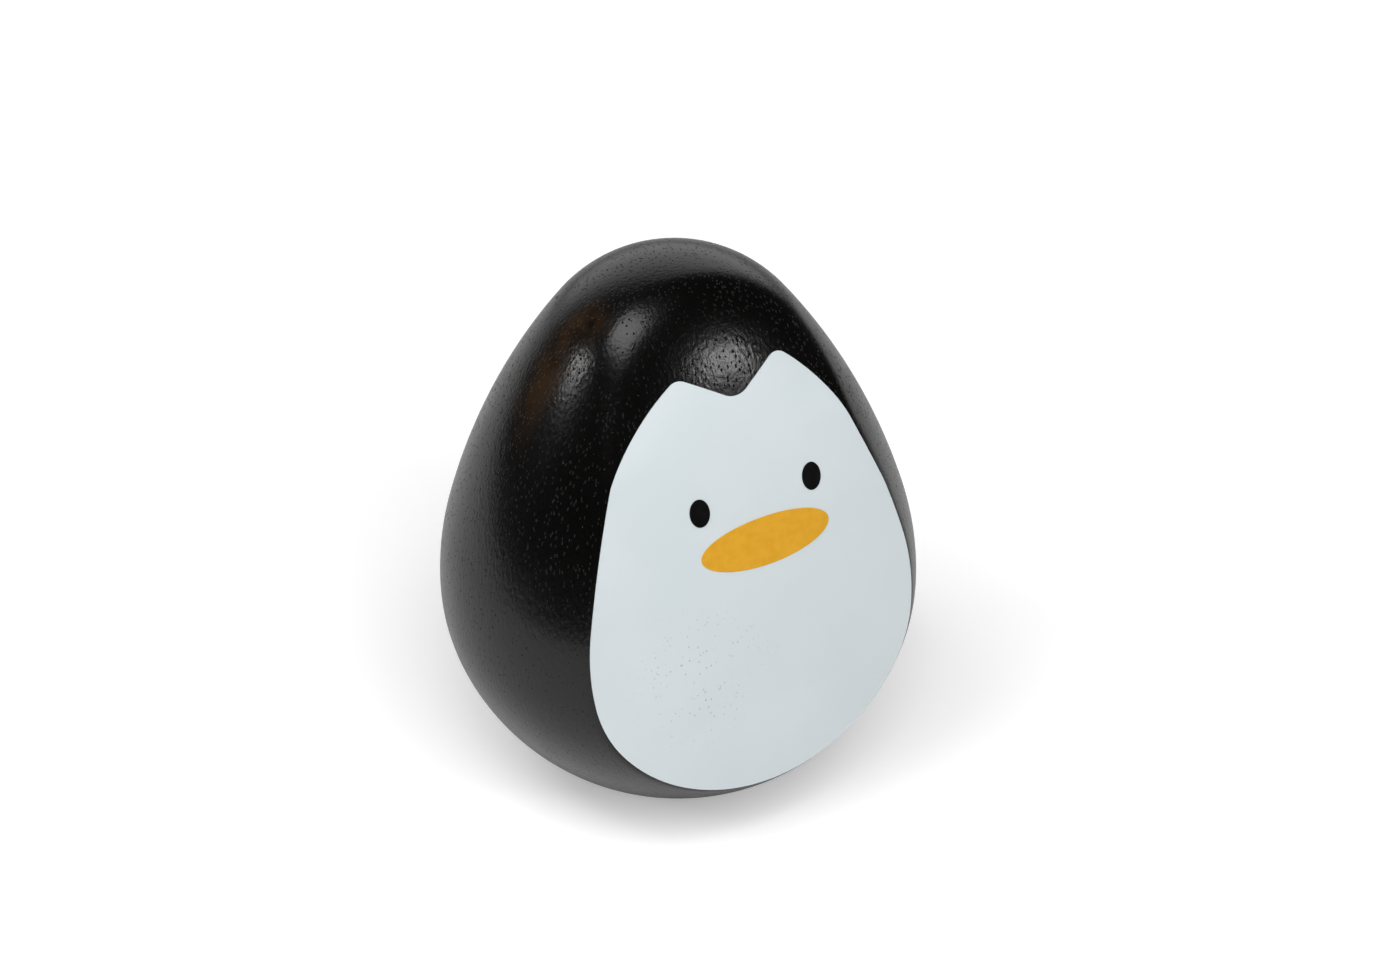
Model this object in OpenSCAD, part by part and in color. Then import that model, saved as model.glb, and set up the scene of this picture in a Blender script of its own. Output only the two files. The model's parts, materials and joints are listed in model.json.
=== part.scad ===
// Roly poly toy: a turned wooden egg with a gently crowned, painted bird face, a steel
// ballast low in its round base, and a small bell that swings inside.
// Millimetres. +Z is the turning axis, the face looks along -Y, and the
// origin is the middle of the small flat under the round base.

/* [Egg] */
// Width of the egg at its widest
body_w = 80; // [72:1:96]
// Radius of the arc below the widest height
heel_r = 32.5; // [28:0.5:36]
// Angle below level at which the heel runs into the round base
heel_turn = 18.5; // [16:0.5:24]
// Width of the small flat under the base, which the toy stands still on
stand_w = 10; // [8:0.5:12]
// Radius of the arc above the widest height
belly_r = 51; // [46:1:60]
// Angle above level at which the belly runs into the flank
belly_turn = 15.6; // [13:0.1:18]
// Radius of the long arc of the flank
flank_r = 118; // [108:1:130]
// Angle above level at which the flank runs into the round crown
crown_turn = 35.8; // [33:0.1:38]

/* [Face] */
// Distance from the axis to the crest of the face, square to it
face_set = 30; // [28:0.1:32]
// Angle by which the face leans back
face_lean = 13; // [10:0.1:15]
// Radius of the crowned face, which is part of a large ball
face_r = 160; // [130:5:200]
// Height of the crest, up the face from the widest height
face_mid = 10; // [8:0.5:12]
// Thickness of the white paint
coat_t = 0.2; // [0.1:0.05:0.5]
// Thickness of the print of the eyes and the beak
print_t = 0.1; // [0.05:0.05:0.3]

/* [Brow] */
// Height of the two tips of the brow, up the face
tip_y = 45.1; // [43:0.05:47]
// Distance between the two tips
tip_gap = 18.5; // [16:0.1:21]
// Middle of the two tips, across the face
tip_mid = 1.8; // [-1:0.1:3]
// Radius of each tip
tip_r = 2.4; // [1.6:0.1:3]
// Height of the lowest point of the notch between the tips
notch_y = 40.1; // [38:0.1:42]
// Place of that lowest point, across the face
notch_x = 2.1; // [0:0.1:3]
// Radius of the bottom of the notch
notch_r = 3.6; // [2.6:0.1:4]
// Slope of the left shoulder where it leaves its tip
left_slope = 30; // [26:1:34]
// Radius of the left shoulder, which runs from its tip to the edge of the face
left_arc_r = 34; // [30:1:38]
// Slope of the right shoulder where it leaves its tip
right_slope = 40; // [36:1:44]
// Radius of the right shoulder
right_arc_r = 28; // [25:1:31]
// Slope at which both shoulders run off the face
edge_slope = 70; // [66:1:74]

/* [Eyes and beak] */
// Height of the eyes, up the face
eye_y = 23.3; // [21:0.1:27]
// Distance between the eyes
eye_gap = 20.6; // [14:0.1:24]
// Middle of the two eyes, across the face
eye_mid = 2.3; // [-1:0.1:4]
// Width of an eye
eye_w = 3.5; // [2.5:0.1:5]
// Height of an eye
eye_h = 4.7; // [3:0.1:6]
// Height of the beak's middle, up the face
beak_y = 15.3; // [12:0.1:17]
// Place of the beak's middle, across the face
beak_x = 2.8; // [-1:0.1:5]
// Width of the beak
beak_w = 23.6; // [16:0.1:28]
// Height of the beak
beak_h = 8.3; // [6:0.1:10]

/* [Base plug and ballast] */
// Thickness of the plug at its middle
plug_t = 12; // [10:0.5:14]
// Glue line round the plug
glue_gap = 0.1; // [0.05:0.01:0.2]
// Width of the ballast weight
ballast_w = 36; // [32:0.5:37]
// Height of the ballast weight
ballast_t = 18; // [14:0.5:20]
// How far the ballast sits towards the face, to balance the wood cut away there
ballast_shift = 2.65; // [2.2:0.05:3.2]
// Least gap between the ballast and the bore round it
ballast_gap = 0.8; // [0.5:0.1:1.2]
// Chamfer of the ballast's edges
ballast_chamfer = 0.8; // [0.4:0.1:1.5]
// Room left over the ballast
ballast_room = 0.5; // [0.3:0.1:2]
// Shank width of the ballast screws
screw_w = 3.5; // [3:0.1:4]
// Head width of the ballast screws
screw_head_w = 7; // [6:0.1:8]
// Height of the countersunk head
screw_head_t = 2.2; // [1.5:0.1:2.6]
// How far the screws bite into the plug
screw_bite = 7; // [5:0.1:8]
// Distance between the two screws
screw_gap = 20; // [16:0.5:22]
// Gap round a screw in its hole
screw_slack = 0.1; // [0.05:0.01:0.2]
// Width of the driving slot
slot_w = 1; // [0.6:0.1:1.2]
// Depth of the driving slot
slot_t = 1; // [0.6:0.1:1.2]

/* [Bell chamber] */
// Width of the chamber that the bell swings in
chamber_w = 34; // [32:0.5:36]
// Room between the bell's mouth and the ballast
mouth_room = 8; // [4:0.5:9]

/* [Hanger eye and ring] */
// Radius of the screw eye, to the middle of its wire
eye_loop_r = 2.6; // [2.3:0.1:3.2]
// Wire of the screw eye
eye_wire = 1.4; // [1:0.1:1.6]
// Length of the screw eye's shank in the wood
shank_l = 12; // [8:0.5:14]
// Width of that shank
shank_w = 2.4; // [2:0.1:3]
// Gap round that shank in its hole
shank_slack = 0.05; // [0.03:0.01:0.1]
// Radius of the jump ring, to the middle of its wire
ring_r = 2.6; // [2.4:0.1:3.2]
// Wire of the jump ring
ring_wire = 1; // [0.8:0.1:1.2]
// Gap between one hanging wire and the next
hang_gap = 0.3; // [0.2:0.05:0.4]

/* [Bell and clapper] */
// Height of the bell
bell_h = 13; // [11:0.5:14]
// Width of the bell's mouth
mouth_w = 16; // [14:0.5:17]
// Width of the bell's shoulder, which its dome stands on
shoulder_w = 10; // [9:0.2:11]
// Wall of the bell
bell_wall = 0.8; // [0.6:0.1:1]
// Radius of the loop on the bell, to the middle of its wire
loop_r = 1.9; // [1.7:0.1:2.2]
// Radius of the loop inside the bell, to the middle of its wire
inner_loop_r = 1.6; // [1.5:0.1:1.8]
// Wire of both loops
loop_wire = 1; // [0.8:0.1:1.1]
// Gap round the wire where it passes the crown of the bell
crown_slack = 0.05; // [0.03:0.01:0.1]
// Radius of the clapper's loop, to the middle of its wire
clapper_loop_r = 1.4; // [1.3:0.1:1.6]
// Wire of the clapper's loop and stem
clapper_wire = 0.8; // [0.6:0.1:0.9]
// Length of the clapper's stem, from its loop to its ball
stem_l = 3.4; // [2.4:0.1:4]
// Width of the clapper's ball
ball_w = 4; // [3.2:0.1:4.4]

/* [Hidden] */
$fn = 180;
// Points round a printed oval
oval_points = 96;
// Steps along each arc of the brow
arc_steps = 14;
// How far every cut runs past what it cuts
overrun = 1;
// How far a tighter arc of the egg laps over the wider one beside it
lap = 0.005;

wood_black = "#2a211c";
paint_white = "#cfd7d9";
paint_black = "#141414";
paint_amber = "#d49d30";
steel = "#8d9196";
brass = "#b5924c";

// The egg's half section is a chain of arcs, each tangent to the next. The
// heel and the belly meet at the widest height, and the base and the crown
// are balls centred on the axis. A small flat cuts off the base's lowest part.
half_w = body_w / 2;
heel_x = half_w - heel_r;
base_r = heel_r + heel_x / cos(heel_turn);
base_z = sqrt(pow(base_r - lap, 2) - pow(stand_w / 2, 2));
wide_z = base_z - heel_x * tan(heel_turn);
heel_z = wide_z - heel_r * sin(heel_turn);
belly_x = half_w - belly_r;
belly_z = wide_z + belly_r * sin(belly_turn);
flank_x = belly_x + (belly_r - flank_r) * cos(belly_turn);
flank_mid_z = wide_z + (belly_r - flank_r) * sin(belly_turn);
crown_x = flank_x + flank_r * cos(crown_turn);
crown_r = crown_x / cos(crown_turn);
crown_z = flank_mid_z + flank_r * sin(crown_turn);
crown_mid_z = crown_z - crown_r * sin(crown_turn);
body_h = crown_mid_z + crown_r;

// The bore takes the ballast where it sits, and the plug closes the bore.
plug_w = ballast_w + 2 * (ballast_shift + ballast_gap);

// Levels inside, from the base up
ballast_z = plug_t;
ballast_top_z = ballast_z + ballast_t;
well_z = ballast_top_z + ballast_room;
bell_z = ballast_top_z + mouth_room;
bell_top_z = bell_z + bell_h;
loop_z = bell_top_z + loop_wire / 2 + loop_r;
ring_seat_z = loop_z + loop_r - loop_wire / 2 - ring_wire / 2 - hang_gap;
ring_z = ring_seat_z + ring_r;
eye_seat_z = ring_z + ring_r - ring_wire / 2 - eye_wire / 2 - hang_gap;
eye_loop_z = eye_seat_z + eye_loop_r;
ceiling_z = eye_loop_z + eye_loop_r + eye_wire / 2;
inner_loop_z = bell_top_z - bell_wall - loop_wire / 2 - inner_loop_r;
clapper_seat_z = inner_loop_z - inner_loop_r;
clapper_loop_z = clapper_seat_z + loop_wire / 2 + clapper_wire / 2 + hang_gap - clapper_loop_r;
ball_z = clapper_loop_z - clapper_loop_r - stem_l;

// The bell's skirt flares out to the mouth on a hollow arc, which leaves the
// shoulder upright.
shoulder_r = shoulder_w / 2;
mouth_r = mouth_w / 2;
skirt_h = bell_h - shoulder_r;
flare_r = (pow(mouth_r - shoulder_r, 2) + pow(skirt_h, 2)) / (2 * (mouth_r - shoulder_r));

// The brow is drawn with straight runs that touch three circles: a tip, the
// notch and the other tip. A shoulder of a wider arc runs down from each tip.
tip_left = [tip_mid - tip_gap / 2, tip_y - tip_r];
tip_right = [tip_mid + tip_gap / 2, tip_y - tip_r];
notch = [notch_x, notch_y + notch_r];

// A point at a distance from another one, along an angle
function polar(from, length, angle) = from + length * [cos(angle), sin(angle)];
// Points along an arc
function arc(center, radius, from, to) =
    [for (i = [0:arc_steps]) polar(center, radius, from + (to - from) * i / arc_steps)];
// Angles of the straight run down from one tip to the notch, and of the run up to the other
function run_lean(tip) = asin((tip_r + notch_r) / norm(notch - tip));
run_down = atan2(notch.y - tip_left.y, notch.x - tip_left.x) - run_lean(tip_left);
run_up = atan2(tip_right.y - notch.y, tip_right.x - notch.x) + run_lean(tip_right);

// The part of a disc that lies right of the axis and between two levels
module disc_band(center_x, center_z, radius, low, high) {
    intersection() {
        translate([center_x, center_z]) circle(r = radius);
        translate([0, low]) square([body_w, high - low]);
    }
}

// The whole turned egg, before its face is cut
module egg() {
    rotate_extrude() {
        disc_band(0, base_z, base_r - lap, 0, heel_z);
        disc_band(heel_x, wide_z, heel_r, 0, body_h);
        disc_band(belly_x, wide_z, belly_r - lap, wide_z, body_h);
        disc_band(flank_x, flank_mid_z, flank_r - 2 * lap, belly_z, crown_z);
        disc_band(0, crown_mid_z, crown_r - lap, 0, body_h);
    }
}

// Puts children on the face: X across it, Y up it and Z out of it
module on_face() {
    translate([0, 0, wide_z]) rotate([90 - face_lean, 0, 0]) translate([0, 0, face_set]) children();
}

// The large ball whose surface is the painted face, drawn in by a depth
module face_ball(depth) {
    on_face() translate([0, face_mid, -face_r]) rotate([0, 90, 0]) sphere(r = face_r - depth);
}

// An outline drawn on the face, as a layer that stands on the face or lies in it
module face_layer(low, high) {
    difference() {
        intersection() {
            face_ball(-high);
            on_face() translate([0, 0, -half_w / 2]) linear_extrude(half_w / 2 + overrun) children();
        }
        face_ball(-low);
    }
}

// Outline of the white up to the brow, wider than the face at its sides
module brow_outline() {
    left_shoulder = polar(tip_left, tip_r - left_arc_r, 90 + left_slope);
    right_shoulder = polar(tip_right, tip_r - right_arc_r, 90 - right_slope);
    left_end = polar(left_shoulder, left_arc_r, 90 + edge_slope);
    right_end = polar(right_shoulder, right_arc_r, 90 - edge_slope);
    polygon(concat(
        [polar(left_end, body_w, 180 + edge_slope)],
        arc(left_shoulder, left_arc_r, 90 + edge_slope, 90 + left_slope),
        arc(tip_left, tip_r, 90 + left_slope, run_down + 90),
        arc(notch, notch_r, run_down - 90, run_up - 90),
        arc(tip_right, tip_r, run_up + 90, 90 - right_slope),
        arc(right_shoulder, right_arc_r, 90 - right_slope, 90 - edge_slope),
        [polar(right_end, body_w, -edge_slope)]
    ));
}

// An oval spot of print on the face
module printed_oval(x, y, width, height) {
    face_layer(0, print_t) translate([x, y])
        polygon([for (i = [0:oval_points - 1])
            [width / 2 * cos(360 * i / oval_points), height / 2 * sin(360 * i / oval_points)]]);
}

// A round wire bent into a closed loop that stands upright, its hole along X or Y
module wire_loop(z, radius, wire, turn) {
    translate([0, 0, z]) rotate([90, 0, turn]) rotate_extrude() translate([radius, 0]) circle(d = wire);
}

// The places of the two ballast screws
module at_screws() {
    for (side = [-1, 1]) translate([side * screw_gap / 2, -ballast_shift, 0]) children();
}

// A countersunk screw with its head flush in the ballast, grown by a slack
module screw_form(slack) {
    translate([0, 0, ballast_z - screw_bite]) cylinder(d = screw_w + 2 * slack, h = screw_bite + ballast_t);
    translate([0, 0, ballast_top_z - screw_head_t])
        cylinder(d1 = screw_w + 2 * slack, d2 = screw_head_w + 2 * slack, h = screw_head_t);
}

module body() {
    color(wood_black) difference() {
        intersection() {
            egg();
            face_ball(coat_t);
        }
        translate([0, 0, -overrun]) cylinder(d = plug_w, h = well_z + overrun);
        translate([0, 0, well_z - overrun])
            cylinder(d = chamber_w, h = ceiling_z - well_z + overrun);
        translate([0, 0, ceiling_z - overrun])
            cylinder(d = shank_w + 2 * shank_slack, h = shank_l + overrun);
    }
}

module base_plug() {
    color(wood_black) difference() {
        intersection() {
            egg();
            cylinder(d = plug_w - 2 * glue_gap, h = plug_t);
        }
        at_screws() screw_form(screw_slack);
    }
}

module ballast_weight() {
    color(steel) difference() {
        translate([0, -ballast_shift, ballast_z]) {
            cylinder(d1 = ballast_w - 2 * ballast_chamfer, d2 = ballast_w, h = ballast_chamfer);
            translate([0, 0, ballast_chamfer]) cylinder(d = ballast_w, h = ballast_t - 2 * ballast_chamfer);
            translate([0, 0, ballast_t - ballast_chamfer])
                cylinder(d1 = ballast_w, d2 = ballast_w - 2 * ballast_chamfer, h = ballast_chamfer);
        }
        at_screws() screw_form(screw_slack);
    }
}

module ballast_screws() {
    color(steel) at_screws() difference() {
        screw_form(0);
        translate([-screw_head_w, -slot_w / 2, ballast_top_z - slot_t])
            cube([2 * screw_head_w, slot_w, slot_t + overrun]);
    }
}

module face_coat() {
    color(paint_white) intersection() {
        egg();
        face_layer(-coat_t, 0) brow_outline();
    }
}

module left_eye() {
    color(paint_black) printed_oval(eye_mid - eye_gap / 2, eye_y, eye_w, eye_h);
}

module right_eye() {
    color(paint_black) printed_oval(eye_mid + eye_gap / 2, eye_y, eye_w, eye_h);
}

module beak() {
    color(paint_amber) printed_oval(beak_x, beak_y, beak_w, beak_h);
}

module hanger_eye() {
    color(steel) {
        wire_loop(eye_loop_z, eye_loop_r, eye_wire, 90);
        translate([0, 0, eye_loop_z + eye_loop_r]) cylinder(d = shank_w, h = shank_l + eye_wire / 2);
    }
}

module hanger_ring() {
    color(steel) wire_loop(ring_z, ring_r, ring_wire, 0);
}

// Half section of the bell, or of the space inside it when drawn in by a wall
module bell_section(inset) {
    translate([0, skirt_h]) intersection() {
        circle(r = shoulder_r - inset);
        square(shoulder_r);
    }
    difference() {
        square([mouth_r, skirt_h]);
        translate([shoulder_r + flare_r, skirt_h]) circle(r = flare_r + inset);
    }
}

module bell_shell() {
    color(brass) translate([0, 0, bell_z]) difference() {
        rotate_extrude() difference() {
            bell_section(0);
            bell_section(bell_wall);
        }
        translate([0, 0, skirt_h]) cylinder(d = loop_wire + 2 * crown_slack, h = shoulder_r + overrun);
    }
}

module bell_loop() {
    color(steel) {
        wire_loop(loop_z, loop_r, loop_wire, 90);
        wire_loop(inner_loop_z, inner_loop_r, loop_wire, 90);
        translate([0, 0, inner_loop_z + inner_loop_r])
            cylinder(d = loop_wire, h = loop_z - loop_r - inner_loop_z - inner_loop_r);
    }
}

module clapper() {
    color(brass) {
        wire_loop(clapper_loop_z, clapper_loop_r, clapper_wire, 0);
        translate([0, 0, ball_z]) cylinder(d = clapper_wire, h = stem_l);
        translate([0, 0, ball_z]) sphere(d = ball_w);
    }
}

body();
base_plug();
ballast_weight();
ballast_screws();
face_coat();
left_eye();
right_eye();
beak();
hanger_eye();
hanger_ring();
bell_shell();
bell_loop();
clapper();
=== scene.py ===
import json
import math

import bpy
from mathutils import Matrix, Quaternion, Vector


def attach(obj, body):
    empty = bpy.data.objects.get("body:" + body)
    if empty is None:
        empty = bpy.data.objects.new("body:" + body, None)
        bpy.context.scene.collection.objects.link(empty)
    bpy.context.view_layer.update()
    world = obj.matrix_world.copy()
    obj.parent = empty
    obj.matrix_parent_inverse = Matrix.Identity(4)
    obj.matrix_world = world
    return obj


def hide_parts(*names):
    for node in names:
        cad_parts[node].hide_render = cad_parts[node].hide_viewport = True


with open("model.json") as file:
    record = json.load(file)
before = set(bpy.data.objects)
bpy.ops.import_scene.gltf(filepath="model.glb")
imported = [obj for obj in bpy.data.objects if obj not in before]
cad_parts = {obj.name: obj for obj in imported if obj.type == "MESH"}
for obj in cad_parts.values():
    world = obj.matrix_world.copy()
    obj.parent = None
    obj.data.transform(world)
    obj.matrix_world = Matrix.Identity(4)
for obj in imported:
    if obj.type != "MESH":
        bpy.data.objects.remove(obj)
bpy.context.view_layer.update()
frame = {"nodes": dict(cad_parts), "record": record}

MM = 0.001

# The egg's half section, a chain of arcs as in the part's source
BODY_W = 80 * MM
HEEL_R = 32.5 * MM
HEEL_TURN = math.radians(18.5)
STAND_W = 10 * MM
BELLY_R = 51 * MM
BELLY_TURN = math.radians(15.6)
FLANK_R = 118 * MM
CROWN_TURN = math.radians(35.8)
FACE_SET = 30 * MM
FACE_LEAN = math.radians(13)
FACE_R = 160 * MM
FACE_MID = 10 * MM
COAT_T = 0.2 * MM

HALF_W = BODY_W / 2
HEEL_X = HALF_W - HEEL_R
BASE_R = HEEL_R + HEEL_X / math.cos(HEEL_TURN)
BASE_Z = math.sqrt(BASE_R ** 2 - (STAND_W / 2) ** 2)
WIDE_Z = BASE_Z - HEEL_X * math.tan(HEEL_TURN)
HEEL_Z = WIDE_Z - HEEL_R * math.sin(HEEL_TURN)
BELLY_X = HALF_W - BELLY_R
BELLY_Z = WIDE_Z + BELLY_R * math.sin(BELLY_TURN)
FLANK_X = BELLY_X + (BELLY_R - FLANK_R) * math.cos(BELLY_TURN)
FLANK_MID_Z = WIDE_Z + (BELLY_R - FLANK_R) * math.sin(BELLY_TURN)
CROWN_X = FLANK_X + FLANK_R * math.cos(CROWN_TURN)
CROWN_R = CROWN_X / math.cos(CROWN_TURN)
CROWN_Z = FLANK_MID_Z + FLANK_R * math.sin(CROWN_TURN)
CROWN_MID_Z = CROWN_Z - CROWN_R * math.sin(CROWN_TURN)
BODY_H = CROWN_MID_Z + CROWN_R

# The bore, the bell chamber and the screw eye's hole
BORE_W = 42.9 * MM
BORE_TOP = 30.5 * MM
CHAMBER_W = 34 * MM
CHAMBER_TOP = 63.6 * MM
SHANK_W = 2.5 * MM
SHANK_TOP = 75.6 * MM
BORE_START = -5 * MM
BORE_SIDES = 128

# How finely the egg and its coat are meshed
ROUND_STEPS = 256
RINGS = 160
FACE_RINGS = 52
COAT_LEVELS = 2
MERGE = 0.002 * MM
FRONT_TURN = 0.9
BODY_SMOOTH = math.radians(50)
COAT_SMOOTH = math.radians(40)
HALVINGS = 34
TINY = 1e-9

# How the face's edge is eased: a little all round, and more over the brow
CORE_UP = 12 * MM
EASE = 0.4 * MM
BROW_EASE = 7 * MM
BROW_EASE_FROM = 0.62
BROW_EASE_TO = 0.97

# The camera, from a fit of the egg's outline and its face to the photograph
PHOTO_W = 1400
PHOTO_H = 960
VIEW_TURN = math.radians(27.44)
VIEW_RISE = math.radians(36.98)
VIEW_ROLL = math.radians(-1.32)
VIEW_DISTANCE = 666.7 * MM
VIEW_FOCAL_PX = 3959.7
AIM_PX = 678.21
AIM_PY = 569.24
SENSOR_W = 36
CLIP_NEAR = 0.01
CLIP_FAR = 50

# Stained wood, with colours in linear light and patterns per metre
STAIN = (0.0013, 0.0011, 0.001)
STAIN_BROWN = (0.028, 0.0135, 0.0045)
STAIN_IN_PORE = (0.0012, 0.001, 0.001)
GRAIN_SCALE = (220, 220, 14)
GRAIN_LOW = 0.25
GRAIN_HIGH = 0.6
FIGURE_SCALE = (60, 60, 14)
WOOD_ROUGH = 0.19
WOOD_ROUGH_GRAIN = 0.1
WOOD_ROUGH_PORE = 0.55
WOOD_IOR = 1.5
WOOD_FINE_SCALE = (1700, 1700, 800)
WOOD_FINE_DEPTH = 0.05 * MM

# Its open pores, which grow towards the crown
PORE_ACROSS = 0.66 * MM
PORE_ALONG = 1.5 * MM
PORE_SMALL = 0.13
PORE_LARGE = 0.25
PORE_LOW = 25 * MM
PORE_HIGH = 90 * MM
PORE_EDGE_OUT = 1.1
PORE_EDGE_IN = 0.6
PORE_SPREAD_SCALE = 0.11
PORE_DEPTH = 0.085 * MM

# The brown streak on the left of the crown, where the stain took less
STREAK_SIDE = Vector((0.1, 1, 0)).normalized()
STREAK_MID = -2 * MM
STREAK_W = 6 * MM
STREAK_WANDER = 5 * MM
STREAK_IN = -11 * MM
STREAK_OUT = -17 * MM
STREAK_LOW = 70 * MM
STREAK_HIGH = 86 * MM

# White paint, with a patch of pores that show through
PAINT_DARK = (0.60, 0.66, 0.68)
PAINT_LIGHT = (0.63, 0.685, 0.705)
PAINT_CLOUD_SCALE = (60, 60, 60)
PAINT_ROUGH = 0.42
PAINT_ROUGH_FINE = 0.1
PAINT_FINE_SCALE = (1500, 1500, 1500)
PAINT_FINE_DEPTH = 0.008 * MM
SPECK = (0.30, 0.31, 0.32)
SPECK_SHARE = 0.65
SPECK_ACROSS = 0.7 * MM
SPECK_ALONG = 1.3 * MM
SPECK_SIZE = 0.16
SPECK_DEPTH = 0.05 * MM
SPECKS_AT = Vector((-11, -30.6, 39)) * MM
SPECKS_R = 17 * MM
SPECKS_CORE_R = 0.3 * SPECKS_R
SPECKS_PATCH_SCALE = (180, 180, 180)

# Printed ink
INK_CLOUD_SCALE = (700, 700, 700)
INK_FINE_SCALE = (2600, 2600, 2600)
INK_FINE_DEPTH = 0.006 * MM
INK_ROUGH_FINE = 0.12
INK_SHINE = 0.06

# Bare metal
METAL_PATCH_SCALE = (160, 160, 160)
METAL_ROUGH_BRUSHED = 0.2
METAL_DEPTH = 0.01 * MM

# The floor, in metres, reaches furthest behind the toy and to its right
FLOOR_W = 4.0
FLOOR_EDGE = 0.25
FLOOR_Z = -0.05 * MM
FLOOR_COLOUR = (0.8, 0.8, 0.8)
FLOOR_MIRRORED = (0.7, 0.7, 0.7)
FLOOR_GLOW = 0.34
FLOOR_NEAR = 0.1
FLOOR_FAR = 0.6

# The white backdrop that the right flank mirrors, and the lamps
WHITE = (1, 1, 1, 1)
BACKDROP = Vector((0.42, 0.9, 0.14)).normalized()
BACKDROP_FROM = 0.62
BACKDROP_TO = 0.92
BACKDROP_LEVEL = 0.95
ROOM_LEVEL = 0.03
LAMP_DISTANCE = 1.2

scene = bpy.context.scene
scene.view_settings.view_transform = "Standard"


def rest():
    if bpy.context.mode != "OBJECT":
        bpy.ops.object.mode_set(mode="OBJECT")
    bpy.ops.object.select_all(action="DESELECT")


def pick(piece):
    rest()
    piece.select_set(True)
    bpy.context.view_layer.objects.active = piece


def name_piece(name):
    piece = bpy.context.active_object
    piece.name = name
    piece.data.name = name
    return piece


def apply(piece, modifier):
    pick(piece)
    bpy.ops.object.modifier_apply(modifier=modifier.name)


# Camera

def make_camera():
    data = bpy.data.cameras.new("camera")
    camera = bpy.data.objects.new("camera", data)
    scene.collection.objects.link(camera)
    data.sensor_width = SENSOR_W
    data.lens = VIEW_FOCAL_PX * SENSOR_W / PHOTO_W
    data.clip_start = CLIP_NEAR
    data.clip_end = CLIP_FAR
    level = math.cos(VIEW_RISE)
    away = Vector((-math.sin(VIEW_TURN) * level, -math.cos(VIEW_TURN) * level, math.sin(VIEW_RISE)))
    aim = Vector((0, 0, WIDE_Z))
    look = (-away).to_track_quat("-Z", "Y")
    right = (AIM_PX - PHOTO_W / 2) / VIEW_FOCAL_PX
    up = (PHOTO_H / 2 - AIM_PY) / VIEW_FOCAL_PX
    seen = Vector((right, up, -1))
    tilt = seen.normalized().rotation_difference(Vector((0, 0, -1)))
    roll = Quaternion((0, 0, 1), VIEW_ROLL)
    camera.rotation_mode = "QUATERNION"
    camera.rotation_quaternion = look @ roll @ tilt
    camera.location = aim + away * VIEW_DISTANCE
    scene.camera = camera


make_camera()

# Node helpers

def node(tree, kind, **settings):
    made = tree.nodes.new(kind)
    for key, value in settings.items():
        setattr(made, key, value)
    return made


def join(tree, source, target):
    tree.links.new(source, target)


def math_node(tree, operation, *values):
    made = node(tree, "ShaderNodeMath", operation=operation)
    for place, value in enumerate(values):
        if isinstance(value, (int, float)):
            made.inputs[place].default_value = value
        else:
            join(tree, value, made.inputs[place])
    return made.outputs[0]


def times(tree, first, second):
    return math_node(tree, "MULTIPLY", first, second)


def plus(tree, first, second):
    return math_node(tree, "ADD", first, second)


def minus(tree, first, second):
    return math_node(tree, "SUBTRACT", first, second)


def step_between(tree, value, low, high):
    made = node(tree, "ShaderNodeMapRange", interpolation_type="SMOOTHSTEP")
    join(tree, value, made.inputs["Value"])
    made.inputs["From Min"].default_value = low
    made.inputs["From Max"].default_value = high
    return made.outputs["Result"]


def against(tree, coords, operation, vector):
    made = node(tree, "ShaderNodeVectorMath", operation=operation)
    join(tree, coords, made.inputs[0])
    made.inputs[1].default_value = vector
    return made.outputs["Value"]


def place(tree):
    return node(tree, "ShaderNodeTexCoord").outputs["Object"]


def noise(tree, vector, detail, rough=0.5, scale=1.0):
    made = node(tree, "ShaderNodeTexNoise")
    join(tree, vector, made.inputs["Vector"])
    made.inputs["Scale"].default_value = scale
    made.inputs["Detail"].default_value = detail
    made.inputs["Roughness"].default_value = rough
    return made.outputs["Fac"]


def mapped_noise(tree, scale, detail, rough=0.5):
    mapping = node(tree, "ShaderNodeMapping")
    mapping.inputs["Scale"].default_value = scale
    join(tree, place(tree), mapping.inputs["Vector"])
    return noise(tree, mapping.outputs["Vector"], detail, rough)


def mix_colour(tree, fac, first, second):
    made = node(tree, "ShaderNodeMix", data_type="RGBA")
    join(tree, fac, made.inputs["Factor"])
    for socket, value in ((made.inputs[6], first), (made.inputs[7], second)):
        if isinstance(value, tuple):
            socket.default_value = value + (1,)
        else:
            join(tree, value, socket)
    return made.outputs[2]


def new_finish(name):
    finish = bpy.data.materials.new(name)
    finish.use_nodes = True
    tree = finish.node_tree
    tree.nodes.clear()
    out = node(tree, "ShaderNodeOutputMaterial")
    return finish, tree, out


def new_skin(name):
    finish, tree, out = new_finish(name)
    skin = node(tree, "ShaderNodeBsdfPrincipled")
    join(tree, skin.outputs["BSDF"], out.inputs["Surface"])
    return finish, tree, skin


def bump(tree, skin, height, distance, before=None):
    made = node(tree, "ShaderNodeBump")
    made.inputs["Distance"].default_value = distance
    join(tree, height, made.inputs["Height"])
    if before is not None:
        join(tree, before, made.inputs["Normal"])
    join(tree, made.outputs["Normal"], skin.inputs["Normal"])
    return made.outputs["Normal"]


# Finishes

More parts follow.
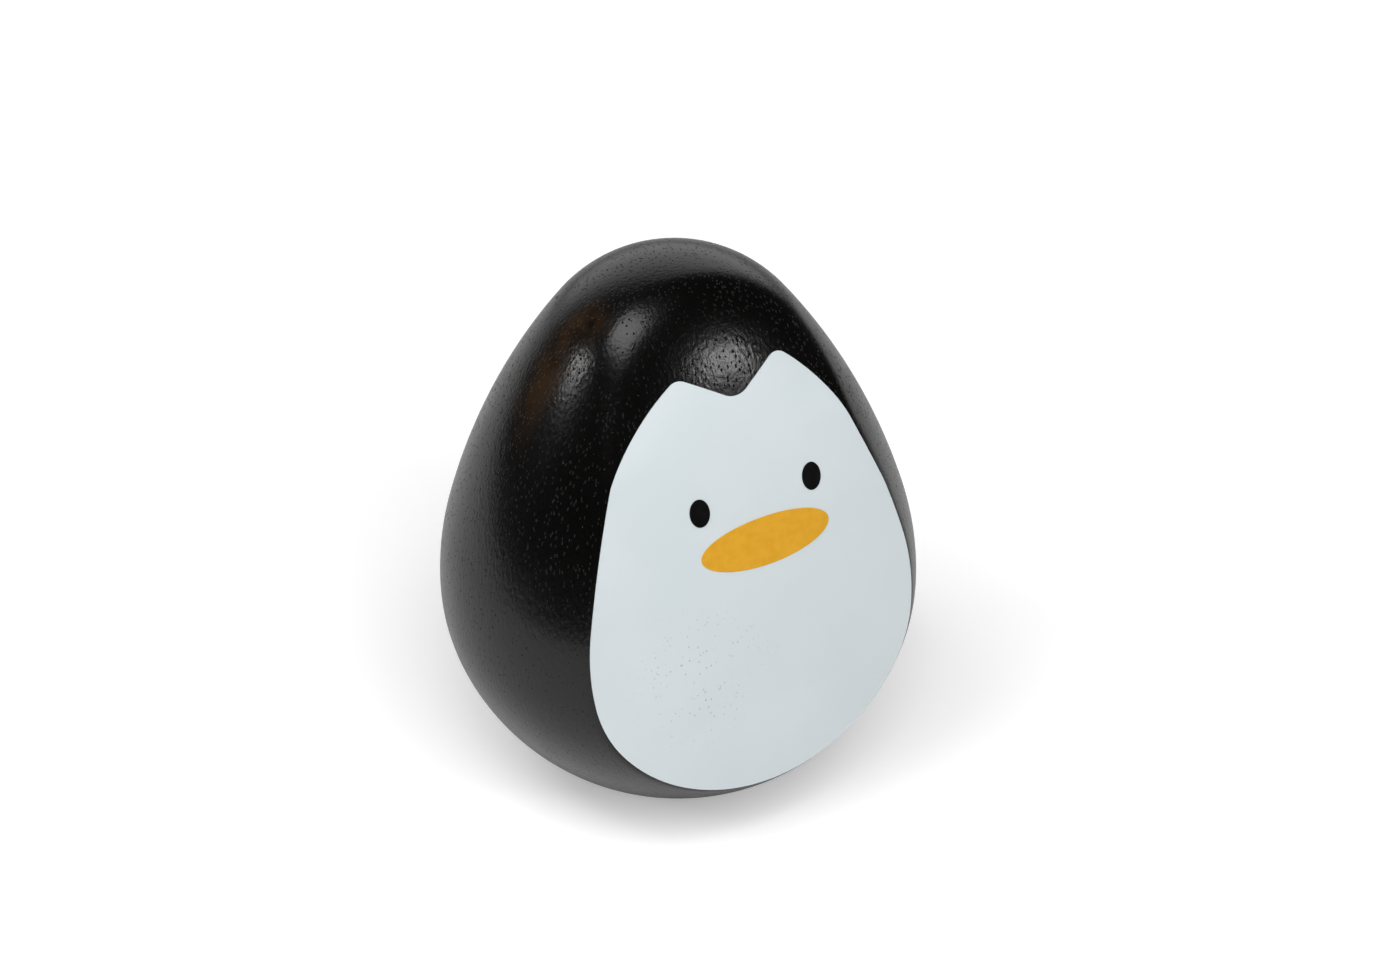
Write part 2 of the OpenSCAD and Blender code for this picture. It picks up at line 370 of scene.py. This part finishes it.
def make_pore_group():
    group = bpy.data.node_groups.new("open_pores", "ShaderNodeTree")
    for name in ("Across", "Along", "Size"):
        group.interface.new_socket(name=name, in_out="INPUT", socket_type="NodeSocketFloat")
    group.interface.new_socket(name="Pore", in_out="OUTPUT", socket_type="NodeSocketFloat")
    given = node(group, "NodeGroupInput")
    result = node(group, "NodeGroupOutput")
    scale = node(group, "ShaderNodeCombineXYZ")
    for axis in ("X", "Y"):
        join(group, given.outputs["Across"], scale.inputs[axis])
    join(group, given.outputs["Along"], scale.inputs["Z"])
    shrink = node(group, "ShaderNodeVectorMath", operation="DIVIDE")
    join(group, place(group), shrink.inputs[0])
    join(group, scale.outputs["Vector"], shrink.inputs[1])
    cells = node(group, "ShaderNodeTexVoronoi", voronoi_dimensions="3D", feature="F1")
    cells.inputs["Scale"].default_value = 1
    join(group, shrink.outputs["Vector"], cells.inputs["Vector"])
    spread = noise(group, shrink.outputs["Vector"], 2.0, scale=PORE_SPREAD_SCALE)
    size = times(group, given.outputs["Size"], plus(group, spread, 0.5))
    edge = math_node(group, "DIVIDE", cells.outputs["Distance"], size)
    pore = step_between(group, edge, PORE_EDGE_OUT, PORE_EDGE_IN)
    join(group, pore, result.inputs["Pore"])
    return group


PORES = make_pore_group()


def pores(tree, across, along, size):
    made = node(tree, "ShaderNodeGroup", node_tree=PORES)
    made.inputs["Across"].default_value = across
    made.inputs["Along"].default_value = along
    if isinstance(size, float):
        made.inputs["Size"].default_value = size
    else:
        join(tree, size, made.inputs["Size"])
    return made.outputs["Pore"]


def stained_wood():
    finish, tree, skin = new_skin("stained_wood")
    grain = mapped_noise(tree, GRAIN_SCALE, 4.0, 0.6)
    figure = mapped_noise(tree, FIGURE_SCALE, 3.0)
    heights = node(tree, "ShaderNodeSeparateXYZ")
    join(tree, place(tree), heights.inputs["Vector"])

    aside = against(tree, place(tree), "DOT_PRODUCT", STREAK_SIDE)
    wander = times(tree, minus(tree, figure, 0.5), STREAK_WANDER)
    off = minus(tree, plus(tree, aside, wander), STREAK_MID)
    off = math_node(tree, "ABSOLUTE", off)
    high = step_between(tree, heights.outputs["Z"], STREAK_LOW, STREAK_HIGH)
    left = step_between(tree, heights.outputs["X"], STREAK_IN, STREAK_OUT)
    brown = times(tree, step_between(tree, off, STREAK_W, 0), times(tree, high, left))
    tone = times(tree, brown, step_between(tree, grain, GRAIN_LOW, GRAIN_HIGH))
    colour = mix_colour(tree, tone, STAIN, STAIN_BROWN)

    rise = step_between(tree, heights.outputs["Z"], PORE_LOW, PORE_HIGH)
    size = plus(tree, times(tree, rise, PORE_LARGE - PORE_SMALL), PORE_SMALL)
    hole = pores(tree, PORE_ACROSS, PORE_ALONG, size)
    colour = mix_colour(tree, hole, colour, STAIN_IN_PORE)
    join(tree, colour, skin.inputs["Base Color"])

    rough = plus(tree, times(tree, grain, WOOD_ROUGH_GRAIN), WOOD_ROUGH)
    rough = plus(tree, rough, times(tree, hole, WOOD_ROUGH_PORE))
    join(tree, rough, skin.inputs["Roughness"])
    skin.inputs["IOR"].default_value = WOOD_IOR
    fine = mapped_noise(tree, WOOD_FINE_SCALE, 2.0)
    first = bump(tree, skin, fine, WOOD_FINE_DEPTH)
    bump(tree, skin, minus(tree, 1.0, hole), PORE_DEPTH, first)
    return finish


def white_paint():
    finish, tree, skin = new_skin("white_paint")
    cloud = step_between(tree, mapped_noise(tree, PAINT_CLOUD_SCALE, 2.0), 0.25, 0.75)
    colour = mix_colour(tree, cloud, PAINT_DARK, PAINT_LIGHT)
    hole = pores(tree, SPECK_ACROSS, SPECK_ALONG, SPECK_SIZE)
    gap = against(tree, place(tree), "DISTANCE", SPECKS_AT)
    thin = step_between(tree, gap, SPECKS_R, SPECKS_CORE_R)
    patchy = step_between(tree, mapped_noise(tree, SPECKS_PATCH_SCALE, 2.0), 0.25, 0.5)
    speck = times(tree, hole, times(tree, thin, patchy))
    colour = mix_colour(tree, times(tree, speck, SPECK_SHARE), colour, SPECK)
    join(tree, colour, skin.inputs["Base Color"])

    fine = mapped_noise(tree, PAINT_FINE_SCALE, 2.0)
    rough = plus(tree, times(tree, fine, PAINT_ROUGH_FINE), PAINT_ROUGH)
    join(tree, rough, skin.inputs["Roughness"])
    first = bump(tree, skin, fine, PAINT_FINE_DEPTH)
    bump(tree, skin, minus(tree, 1.0, speck), SPECK_DEPTH, first)
    return finish


def print_ink(name, dark, light, rough):
    finish, tree, skin = new_skin(name)
    cloud = step_between(tree, mapped_noise(tree, INK_CLOUD_SCALE, 4.0), 0.3, 0.7)
    join(tree, mix_colour(tree, cloud, dark, light), skin.inputs["Base Color"])
    fine = mapped_noise(tree, INK_FINE_SCALE, 2.0)
    join(tree, plus(tree, times(tree, fine, INK_ROUGH_FINE), rough), skin.inputs["Roughness"])
    skin.inputs["Specular IOR Level"].default_value = INK_SHINE
    bump(tree, skin, fine, INK_FINE_DEPTH)
    return finish


def bare_metal(name, dark, light, rough, lay):
    finish, tree, skin = new_skin(name)
    brushed = mapped_noise(tree, lay, 4.0, 0.6)
    patch = step_between(tree, mapped_noise(tree, METAL_PATCH_SCALE, 3.0), 0.3, 0.7)
    tone = times(tree, patch, step_between(tree, brushed, 0.2, 0.8))
    join(tree, mix_colour(tree, tone, dark, light), skin.inputs["Base Color"])
    skin.inputs["Metallic"].default_value = 1
    rough_by = plus(tree, times(tree, brushed, METAL_ROUGH_BRUSHED), rough)
    join(tree, rough_by, skin.inputs["Roughness"])
    bump(tree, skin, brushed, METAL_DEPTH)
    return finish


FINISHES = {
    "stained_wood": stained_wood(),
    "white_paint": white_paint(),
    "black_print": print_ink(
        "black_print", dark=(0.003, 0.003, 0.0032), light=(0.005, 0.005, 0.0053), rough=0.35),
    "amber_print": print_ink(
        "amber_print", dark=(0.65, 0.325, 0.024), light=(0.7, 0.36, 0.03), rough=0.4),
    "ballast_steel": bare_metal(
        "ballast_steel", dark=(0.17, 0.17, 0.175), light=(0.26, 0.26, 0.265),
        rough=0.35, lay=(900, 40, 900)),
    "zinc_steel": bare_metal(
        "zinc_steel", dark=(0.34, 0.35, 0.37), light=(0.46, 0.47, 0.5),
        rough=0.22, lay=(700, 700, 700)),
    "bell_brass": bare_metal(
        "bell_brass", dark=(0.36, 0.2, 0.05), light=(0.55, 0.36, 0.12),
        rough=0.16, lay=(60, 60, 1400)),
}


def finish_with(piece, slot):
    piece.data.materials.clear()
    piece.data.materials.append(FINISHES[slot])


# The egg's surface, as the reach of a ray from a core behind its face

FACE_OUT = Vector((0, -math.cos(FACE_LEAN), math.sin(FACE_LEAN)))
FACE_UP = Vector((0, math.sin(FACE_LEAN), math.cos(FACE_LEAN)))
ACROSS = Vector((1, 0, 0))
CORE = Vector((0, 0, WIDE_Z)) + FACE_UP * CORE_UP
FACE_BALL = Vector((0, 0, WIDE_Z)) + FACE_OUT * (FACE_SET - FACE_R) + FACE_UP * FACE_MID


def egg_radius(z):
    if z < HEEL_Z:
        return math.sqrt(max(BASE_R ** 2 - (z - BASE_Z) ** 2, 0))
    if z < WIDE_Z:
        return HEEL_X + math.sqrt(max(HEEL_R ** 2 - (z - WIDE_Z) ** 2, 0))
    if z < BELLY_Z:
        return BELLY_X + math.sqrt(max(BELLY_R ** 2 - (z - WIDE_Z) ** 2, 0))
    if z < CROWN_Z:
        return FLANK_X + math.sqrt(max(FLANK_R ** 2 - (z - FLANK_MID_Z) ** 2, 0))
    return math.sqrt(max(CROWN_R ** 2 - (z - CROWN_MID_Z) ** 2, 0))


def halve(low, high, inside):
    for step in range(HALVINGS):
        middle = (low + high) / 2
        if inside(middle):
            low = middle
        else:
            high = middle
    return low


def reach_egg(ray):
    def inside(far):
        spot = CORE + ray * far
        if spot.z < 0 or spot.z > BODY_H:
            return False
        return math.hypot(spot.x, spot.y) < egg_radius(spot.z)
    return halve(0, BODY_H, inside)


def reach_ball(ray, ball_r):
    offset = CORE - FACE_BALL
    along = offset.dot(ray)
    return math.sqrt(along ** 2 - offset.length_squared + ball_r ** 2) - along


def reach_face(ray):
    return reach_ball(ray, FACE_R - COAT_T)


def ray_at(tip, around):
    side = ACROSS * math.cos(around) + FACE_UP * math.sin(around)
    return FACE_OUT * math.cos(tip) + side * math.sin(tip)


def rim_tip(around):
    def on_face(tip):
        ray = ray_at(tip, around)
        return reach_face(ray) < reach_egg(ray)
    return halve(0, math.pi / 2, on_face)


# How far the eased edge lies under the sharp one, a rounded meeting of egg and face
def sunk(ray):
    side = math.hypot(ray.dot(ACROSS), ray.dot(FACE_UP))
    lift = ray.dot(FACE_UP) / max(side, TINY)
    rise = max(0, min(1, (lift - BROW_EASE_FROM) / (BROW_EASE_TO - BROW_EASE_FROM)))
    ease = EASE + (BROW_EASE - EASE) * rise * rise * (3 - 2 * rise)
    share = max(ease - abs(reach_egg(ray) - reach_face(ray)), 0) / ease
    return share * share * ease / 4


# The wooden egg: a round grid whose pole is the middle of the face, with rings that follow the face's rim

def top_face(piece):
    bpy.ops.object.mode_set(mode="EDIT")
    bpy.ops.mesh.select_all(action="DESELECT")
    bpy.ops.object.mode_set(mode="OBJECT")
    highest = max(piece.data.polygons, key=lambda side: side.center.z)
    highest.select = True
    bpy.ops.object.mode_set(mode="EDIT")
    bpy.ops.mesh.select_mode(type="FACE")


def raise_step(piece, inset, rise):
    top_face(piece)
    bpy.ops.mesh.inset(thickness=inset)
    bpy.ops.mesh.extrude_region_move(TRANSFORM_OT_translate={"value": (0, 0, rise)})
    bpy.ops.object.mode_set(mode="OBJECT")


def cut_bore(body):
    rest()
    depth = BORE_TOP - BORE_START
    middle = (BORE_TOP + BORE_START) / 2
    bpy.ops.mesh.primitive_cylinder_add(
        vertices=BORE_SIDES, radius=BORE_W / 2, depth=depth, location=(0, 0, middle))
    cutter = name_piece("bore_cutter")
    bpy.ops.object.transform_apply(location=True, rotation=True, scale=True)
    raise_step(cutter, (BORE_W - CHAMBER_W) / 2, CHAMBER_TOP - BORE_TOP)
    raise_step(cutter, (CHAMBER_W - SHANK_W) / 2, SHANK_TOP - CHAMBER_TOP)
    cut = body.modifiers.new("bore", "BOOLEAN")
    cut.operation = "DIFFERENCE"
    cut.solver = "EXACT"
    cut.object = cutter
    apply(body, cut)
    bpy.data.objects.remove(cutter, do_unlink=True)


def make_body():
    rest()
    bpy.ops.mesh.primitive_uv_sphere_add(segments=ROUND_STEPS, ring_count=RINGS, radius=1)
    body = name_piece("wooden_egg")
    rims = {}
    for spot in body.data.vertices:
        around = math.atan2(spot.co.y, spot.co.x)
        ring = round(math.acos(max(-1, min(1, spot.co.z))) / math.pi * RINGS)
        key = round(around * ROUND_STEPS / (2 * math.pi))
        if key not in rims:
            rims[key] = rim_tip(around)
        rim = rims[key]
        if ring <= FACE_RINGS:
            tip = rim * ring / FACE_RINGS
        else:
            tip = rim + (math.pi - rim) * (ring - FACE_RINGS) / (RINGS - FACE_RINGS)
        ray = ray_at(tip, around)
        spot.co = CORE + ray * (min(reach_egg(ray), reach_face(ray)) - sunk(ray))
    cut_bore(body)
    pick(body)
    bpy.ops.object.shade_smooth_by_angle(angle=BODY_SMOOTH)
    finish_with(body, "stained_wood")
    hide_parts("body")
    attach(body, "egg")


make_body()

# The coat: the front of its solid, made finer, laid on the eased face and given its thickness

def keep_front(piece):
    pick(piece)
    bpy.ops.object.mode_set(mode="EDIT")
    bpy.ops.mesh.select_all(action="SELECT")
    bpy.ops.mesh.remove_doubles(threshold=MERGE)
    bpy.ops.mesh.select_all(action="DESELECT")
    bpy.ops.object.mode_set(mode="OBJECT")
    for side in piece.data.polygons:
        side.select = side.normal.dot(FACE_OUT) < FRONT_TURN
    bpy.ops.object.mode_set(mode="EDIT")
    bpy.ops.mesh.select_mode(type="FACE")
    bpy.ops.mesh.delete(type="FACE")
    bpy.ops.object.mode_set(mode="OBJECT")


def make_coat():
    rest()
    coat = bpy.data.objects.new("white_face", frame["nodes"]["face_coat"].data.copy())
    scene.collection.objects.link(coat)
    keep_front(coat)
    finer = coat.modifiers.new("finer", "SUBSURF")
    finer.subdivision_type = "SIMPLE"
    finer.levels = COAT_LEVELS
    finer.render_levels = COAT_LEVELS
    apply(coat, finer)
    for spot in coat.data.vertices:
        ray = (spot.co - CORE).normalized()
        spot.co = CORE + ray * (reach_ball(ray, FACE_R) - sunk(ray))
    thicken = coat.modifiers.new("thicken", "SOLIDIFY")
    thicken.thickness = COAT_T
    thicken.offset = -1
    apply(coat, thicken)
    bpy.ops.object.shade_smooth_by_angle(angle=COAT_SMOOTH)
    finish_with(coat, "white_paint")
    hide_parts("face_coat")
    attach(coat, "egg")


make_coat()

for row in frame["record"]["subparts"]:
    finish_with(frame["nodes"][row["node"]], row["material_slot"])

# Stage and light

def make_floor():
    rest()
    middle = FLOOR_W / 2 - FLOOR_EDGE
    bpy.ops.mesh.primitive_plane_add(size=FLOOR_W, location=(middle, middle, FLOOR_Z))
    floor = name_piece("floor")
    finish, tree, out = new_finish("floor")
    skin = node(tree, "ShaderNodeBsdfDiffuse")
    path = node(tree, "ShaderNodeLightPath")
    shade = mix_colour(tree, path.outputs["Is Glossy Ray"], FLOOR_COLOUR, FLOOR_MIRRORED)
    join(tree, shade, skin.inputs["Color"])
    glow = node(tree, "ShaderNodeEmission")
    glow.inputs["Color"].default_value = WHITE
    gap = against(tree, place(tree), "DISTANCE", (-middle, -middle, 0))
    far = step_between(tree, gap, FLOOR_NEAR, FLOOR_FAR)
    level = plus(tree, times(tree, far, 1 - FLOOR_GLOW), FLOOR_GLOW)
    join(tree, times(tree, path.outputs["Is Camera Ray"], level), glow.inputs["Strength"])
    both = node(tree, "ShaderNodeAddShader")
    join(tree, skin.outputs["BSDF"], both.inputs[0])
    join(tree, glow.outputs["Emission"], both.inputs[1])
    join(tree, both.outputs["Shader"], out.inputs["Surface"])
    floor.data.materials.append(finish)


def make_world():
    world = bpy.data.worlds.new("studio")
    scene.world = world
    world.use_nodes = True
    tree = world.node_tree
    tree.nodes.clear()
    out = node(tree, "ShaderNodeOutputWorld")
    seen = node(tree, "ShaderNodeBackground")
    seen.inputs["Color"].default_value = WHITE
    coords = node(tree, "ShaderNodeTexCoord")
    towards = against(tree, coords.outputs["Generated"], "DOT_PRODUCT", BACKDROP)
    back = times(tree, step_between(tree, towards, BACKDROP_FROM, BACKDROP_TO), BACKDROP_LEVEL)
    path = node(tree, "ShaderNodeLightPath")
    level = plus(tree, times(tree, back, path.outputs["Is Glossy Ray"]), ROOM_LEVEL)
    level = math_node(tree, "MAXIMUM", level, path.outputs["Is Camera Ray"])
    join(tree, level, seen.inputs["Strength"])
    join(tree, seen.outputs["Background"], out.inputs["Surface"])


# A lamp's turn is counted from the face's side towards +X, in degrees as its rise is
def make_lamp(name, turn, rise, width, height, power, mirrored=True):
    data = bpy.data.lights.new(name, "AREA")
    data.shape = "RECTANGLE"
    data.size = width
    data.size_y = height
    data.energy = power
    lamp = bpy.data.objects.new(name, data)
    scene.collection.objects.link(lamp)
    turn = math.radians(turn)
    rise = math.radians(rise)
    level = math.cos(rise)
    away = Vector((math.sin(turn) * level, -math.cos(turn) * level, math.sin(rise)))
    lamp.location = Vector((0, 0, BODY_H / 2)) + away * LAMP_DISTANCE
    lamp.rotation_mode = "QUATERNION"
    lamp.rotation_quaternion = (-away).to_track_quat("-Z", "Y")
    lamp.visible_glossy = mirrored


make_floor()
make_world()
make_lamp("key_softbox", turn=-6, rise=52, width=0.75, height=0.75, power=10.6, mirrored=False)
make_lamp("fill_softbox", turn=-78, rise=48, width=0.6, height=0.6, power=3.0, mirrored=False)
make_lamp("spot_softbox", turn=27, rise=20, width=0.12, height=0.14, power=1.45)
make_lamp("rear_softbox", turn=-72, rise=65, width=1.05, height=0.5, power=5.6)
make_lamp("side_softbox", turn=-117, rise=23, width=0.16, height=0.16, power=1.0)

bpy.context.view_layer.update()
